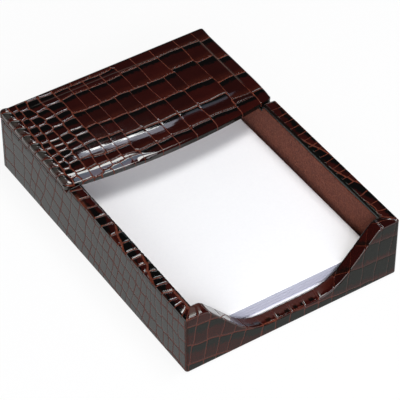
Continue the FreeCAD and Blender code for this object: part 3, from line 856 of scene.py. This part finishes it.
def liningPanel(name, node, crest, reach, place):
    # a thin upright sheet: its section runs up the inner face, over its rounded edge and down the back,
    # and its top stays a little below the leather's lip
    t, n = crest[0], panel["points"]
    t = np.concatenate([[-reach], t[np.abs(t) <= reach][1:-1], [reach]])
    top = (np.interp(t, *crest) - tray["turnIn"] - panel["sunk"])[None, :]
    d = np.concatenate([np.zeros(n), [0.1, 0.4, 0.7], [tray["lining"]] * 2])[:, None]
    up = np.concatenate([np.linspace(0, 1, n), [1, 1, 1], [1, 0]])[:, None]
    drop = np.concatenate([np.zeros(n - 1), [0.15, 0.04, 0, 0.04], [0.15, 0]])[:, None]
    z = tray["floor"] + up * (top - tray["floor"]) - drop
    nap = panel["nap"] * drift(np.broadcast_to(t, z.shape), z, 3.0, 5) * (d == 0)
    points = np.stack(np.broadcast_arrays(*place(t[None, :] + 0 * z, d - nap, z)), axis=-1)
    piece = putPiece(name, points, suedeLook, "holder", [node])
    return piece


inX, inY = halfW - tray["wall"], halfL - tray["wall"]
wideX = inX + tray["lining"]
frontCrest, stepCrest = [tuple(line[::3] for line in crest) for crest in (scoopCrest(), sideCrest())]
backCrest = (np.linspace(-halfW, halfW, 80), np.full(80, tray["seam"]))
liningPanel("front_suede", "front_lining", frontCrest, wideX, lambda t, d, z: (t, -inY - d, z))
liningPanel("back_suede", "back_lining", backCrest, wideX, lambda t, d, z: (t, inY + d, z))
liningPanel("left_suede", "left_lining", stepCrest, inY, lambda t, d, z: (-inX - d, t, z))
liningPanel("right_suede", "right_lining", stepCrest, inY, lambda t, d, z: (inX + d, t, z))


def flatSheet(name, node, look, slot, low, high, corner, rest):
    # a flat sheet: a thin rounded section across it carried along its length, drawn in at its corners
    (x0, y0, z0), (x1, y1, z1) = low, high
    halfX, halfY, midX, midY = (x1 - x0) / 2, (y1 - y0) / 2, (x1 + x0) / 2, (y1 + y0) / 2
    a = np.linspace(0, math.pi / 2, 8)
    straight = halfY - corner
    along = np.concatenate([-halfY + corner * (1 - np.sin(a[::-1])), run(-straight, straight, 2.0)[1:-1],
                            straight + corner * np.sin(a)])
    past = np.maximum(np.abs(along) - straight, 0)
    wide = halfX - corner + np.sqrt(np.maximum(corner ** 2 - past ** 2, 0))
    n, chamfer = 40, (z1 - z0) * 0.2
    f = np.linspace(-1, 1, n)
    edgeDown, edgeUp = [z1 - chamfer, z0 + chamfer], [z0 + chamfer, z1 - chamfer]
    share = np.concatenate([f, [1.0, 1.0], f[::-1], [-1.0, -1.0]])[:, None]
    z = np.concatenate([np.full(n, z1), edgeDown, np.full(n, z0), edgeUp])[:, None]
    rim = np.zeros((2 * n + 4, 1))
    rim[[0, n - 1, n + 2, 2 * n + 1]] = chamfer
    x = midX + share * (wide[None, :] - rim)
    points = np.stack(np.broadcast_arrays(x, midY + along[None, :], z), axis=-1)
    piece = putPiece(name, points, look, "holder", [node])
    return piece


def boxMm(node):
    # the two corners of a CAD node's box in millimetres
    return [[c * 1000 for c in corner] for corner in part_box(node)]


flatSheet("floor_suede", "floor_lining", suedeLook, "suede_lining", *boxMm("floor_lining"), 0.4,
          "base_board")
flatSheet("hood_suede", "hood_lining", suedeLook, "suede_lining", *boxMm("hood_lining"), 0.6, "hood_board")
flatSheet("felt_pad", "base_felt", feltLook, "felt", *boxMm("base_felt"), 3.0, "fill_card")

stack = {
    "layers": 42, "crack": 0.12, "ragged": 0.16,  # crack is the share of a layer's height left open
    "proudBelow": 0.31, "upperBack": 1.0,  # the layers above this share of the height stand back, mm
}


def memoSheets():
    # loose sheets squared up by hand: each layer's outline is the pad's rectangle drawn in by a small
    # seeded amount, the upper layers set back at the front, and the top closes over in one level sheet
    (x0, y0, z0), (x1, y1, z1) = boxMm("memo_stack")
    rng = np.random.default_rng(3)
    n = stack["layers"]
    level = np.linspace(z0, z1, n + 1)
    low, high = level[:-1], level[1:]
    thin = (high - low) * stack["crack"]
    z = np.stack([low + thin, high - thin], axis=1).ravel()
    draw = np.repeat(stack["ragged"] * rng.uniform(0, 1, (n, 4)), 2, axis=0)
    upper = (z - z0) / (z1 - z0) > stack["proudBelow"]
    draw[:, 2] += np.where(upper, stack["upperBack"], 0.0)
    side = np.linspace(0, 1, 24)[:-1]
    px = np.concatenate([side, side * 0 + 1, 1 - side, side * 0])
    py = np.concatenate([side * 0, side, side * 0 + 1, 1 - side])
    left, right = x0 + draw[:, :1], x1 - draw[:, 1:2]
    front, back = y0 + draw[:, 2:3], y1 - draw[:, 3:4]
    x = left + (right - left) * px[None, :]
    y = front + (back - front) * py[None, :]
    ring = np.stack([x, y, np.broadcast_to(z[:, None], x.shape)], axis=-1)
    middle = np.array([(x0 + x1) / 2, (y0 + y1) / 2])
    inner = []
    for f in (0.985, 0.9, 0.5, 0.04):
        lid = ring[-1].copy()
        lid[:, :2] = middle + (lid[:, :2] - middle) * f
        lid[:, 2] = z1
        inner.append(lid)
    base = ring[0].copy()
    base[:, 2] = z0
    points = np.concatenate([base[None], ring, np.array(inner)]).transpose(1, 0, 2)
    # painted shade on the cut edges: full on the upper layers, which stand back, a tenth on the proud ones
    # below
    edge = np.zeros(points.shape[:2])
    edge[:, 1:2 * n] = (np.repeat(rng.uniform(0.75, 1.0, n), 2) * np.where(upper, 1.0, 0.1))[:2 * n - 1]
    return putPiece("memo_sheets", points, paperLook, "memo_stack", ["memo_stack"],
                    {"paintedEdgeShade": edge})


memoSheets()

for node in ("base_board", "front_wall_board", "back_wall_board", "left_wall_board", "right_wall_board",
             "hood_board", "fill_card"):
    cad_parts[node].data.materials.clear()
    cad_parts[node].data.materials.append(cardLook if node == "fill_card" else boardLook)
print("pieces made")


# floor, light and camera

studio = {
    "floorGlow": 0.9, "floorColour": "#f4f4f4", "floorHalf": 4.0, "world": 0.03,
    "lens": 201.85, "sensor": 36.0,
    "cameraPlace": (-0.43560, -0.67046, 0.76469), "cameraAim": (0.39874, 0.60938, -0.68532),
    # the rear lamps are small and near: they make the bright band on the hood
    "lamps": [  # name, place, width, height, power, colour, roll in degrees
        ("topSoft", (0.204, -0.240, 1.158), 0.60, 0.30, 8.5, "#ffffff", 0),
        ("frontSoft", (-0.180, -1.290, 0.750), 1.25, 0.85, 13.8, "#f3f5ff", 0),
        ("cameraSoft", (-0.364, -1.000, 0.745), 0.20, 0.20, 2.0, "#ffffff", 0),
        ("leftSoft", (-0.950, -0.900, 0.650), 0.60, 0.60, 6.0, "#ffffff", 0),
        ("rearLeft", (0.1945, 0.412, 0.461), 0.044, 0.034, 0.0195, "#d8dff2", 3),
        ("rearMiddle", (0.231, 0.391, 0.461), 0.042, 0.034, 0.015, "#d8dff2", 3),
        ("rearRight", (0.2778, 0.3825, 0.4445), 0.045, 0.015, 0.0019, "#c8d6ee", 3),
        ("rearLine", (0.206, 0.408, 0.445), 0.066, 0.007, 0.024, "#ffffff", 3),
        ("backFill", (0.350, 1.450, 0.350), 1.20, 0.60, 2.7, "#ffffff", 0),
        ("noseWhite", (0.163, 0.2615, 0.5441), 0.088, 0.078, 0.270, "#ffffff", 38),
        ("noseBlue", (0.155, 0.129, 0.592), 0.100, 0.210, 0.225, "#c4d0ea", 48),
    ],
    "onlyMirrored": ("noseWhite", "noseBlue"),  # lamps that show in the glaze and light nothing matt
}


def makeStudio():
    # a level floor that the camera and reflections see near full white, and that still takes shadow; a
    # dim world, lamps aimed at the tray, and the camera
    mesh = bpy.data.meshes.new("floor")
    half = studio["floorHalf"]
    mesh.from_pydata([(-half, -half, 0), (half, -half, 0), (half, half, 0), (-half, half, 0)], [],
                     [(0, 1, 2, 3)])
    floor = bpy.data.objects.new("floor", mesh)
    bpy.context.scene.collection.objects.link(floor)
    material = bpy.data.materials.new("white studio paper, matt")
    material.use_nodes = True
    tree = material.node_tree
    tree.nodes.clear()
    path = addNode(tree, "ShaderNodeLightPath")
    seen = addNode(tree, "ShaderNodeMath", {
        0: path.outputs["Is Camera Ray"], 1: path.outputs["Is Glossy Ray"]}, operation="ADD")
    seen = addNode(tree, "ShaderNodeMath", {
        0: seen.outputs[0], 1: path.outputs["Is Transmission Ray"]}, operation="ADD", use_clamp=True)
    matt = addNode(tree, "ShaderNodeBsdfDiffuse", {"Color": toLinear(studio["floorColour"])})
    glow = addNode(tree, "ShaderNodeEmission", {"Color": (1, 1, 1, 1), "Strength": 1.0})
    share = addNode(tree, "ShaderNodeMath", {
        0: seen.outputs[0], 1: studio["floorGlow"]}, operation="MULTIPLY")
    both = addNode(tree, "ShaderNodeMixShader", {
        0: share.outputs[0], 1: matt.outputs[0], 2: glow.outputs[0]})
    addNode(tree, "ShaderNodeOutputMaterial", {"Surface": both.outputs[0]})
    mesh.materials.append(material)
    world = bpy.data.worlds.new("dim studio")
    world.use_nodes = True
    background = world.node_tree.nodes["Background"]
    background.inputs["Color"].default_value = (1, 1, 1, 1)
    background.inputs["Strength"].default_value = studio["world"]
    bpy.context.scene.world = world
    for name, spot, width, height, power, colour, roll in studio["lamps"]:
        data = bpy.data.lights.new(name, "AREA")
        data.shape = "RECTANGLE"
        data.size, data.size_y, data.energy = width, height, power
        data.color = toLinear(colour)[:3]
        lamp = bpy.data.objects.new(name, data)
        lamp.location = spot
        lamp.visible_diffuse = name not in studio["onlyMirrored"]
        aimed = (-Vector(spot)).to_track_quat("-Z", "Y")
        lamp.rotation_euler = (aimed @ Quaternion((0, 0, 1), math.radians(roll))).to_euler()
        bpy.context.scene.collection.objects.link(lamp)
    camera = bpy.data.objects.new("photoCamera", bpy.data.cameras.new("photoCamera"))
    camera.data.lens = studio["lens"]
    camera.data.sensor_width = studio["sensor"]
    camera.location = studio["cameraPlace"]
    camera.rotation_euler = Vector(studio["cameraAim"]).to_track_quat("-Z", "Y").to_euler()
    bpy.context.scene.collection.objects.link(camera)
    bpy.context.scene.camera = camera
    bpy.context.scene.view_settings.view_transform = "Standard"


makeStudio()
print("studio made")
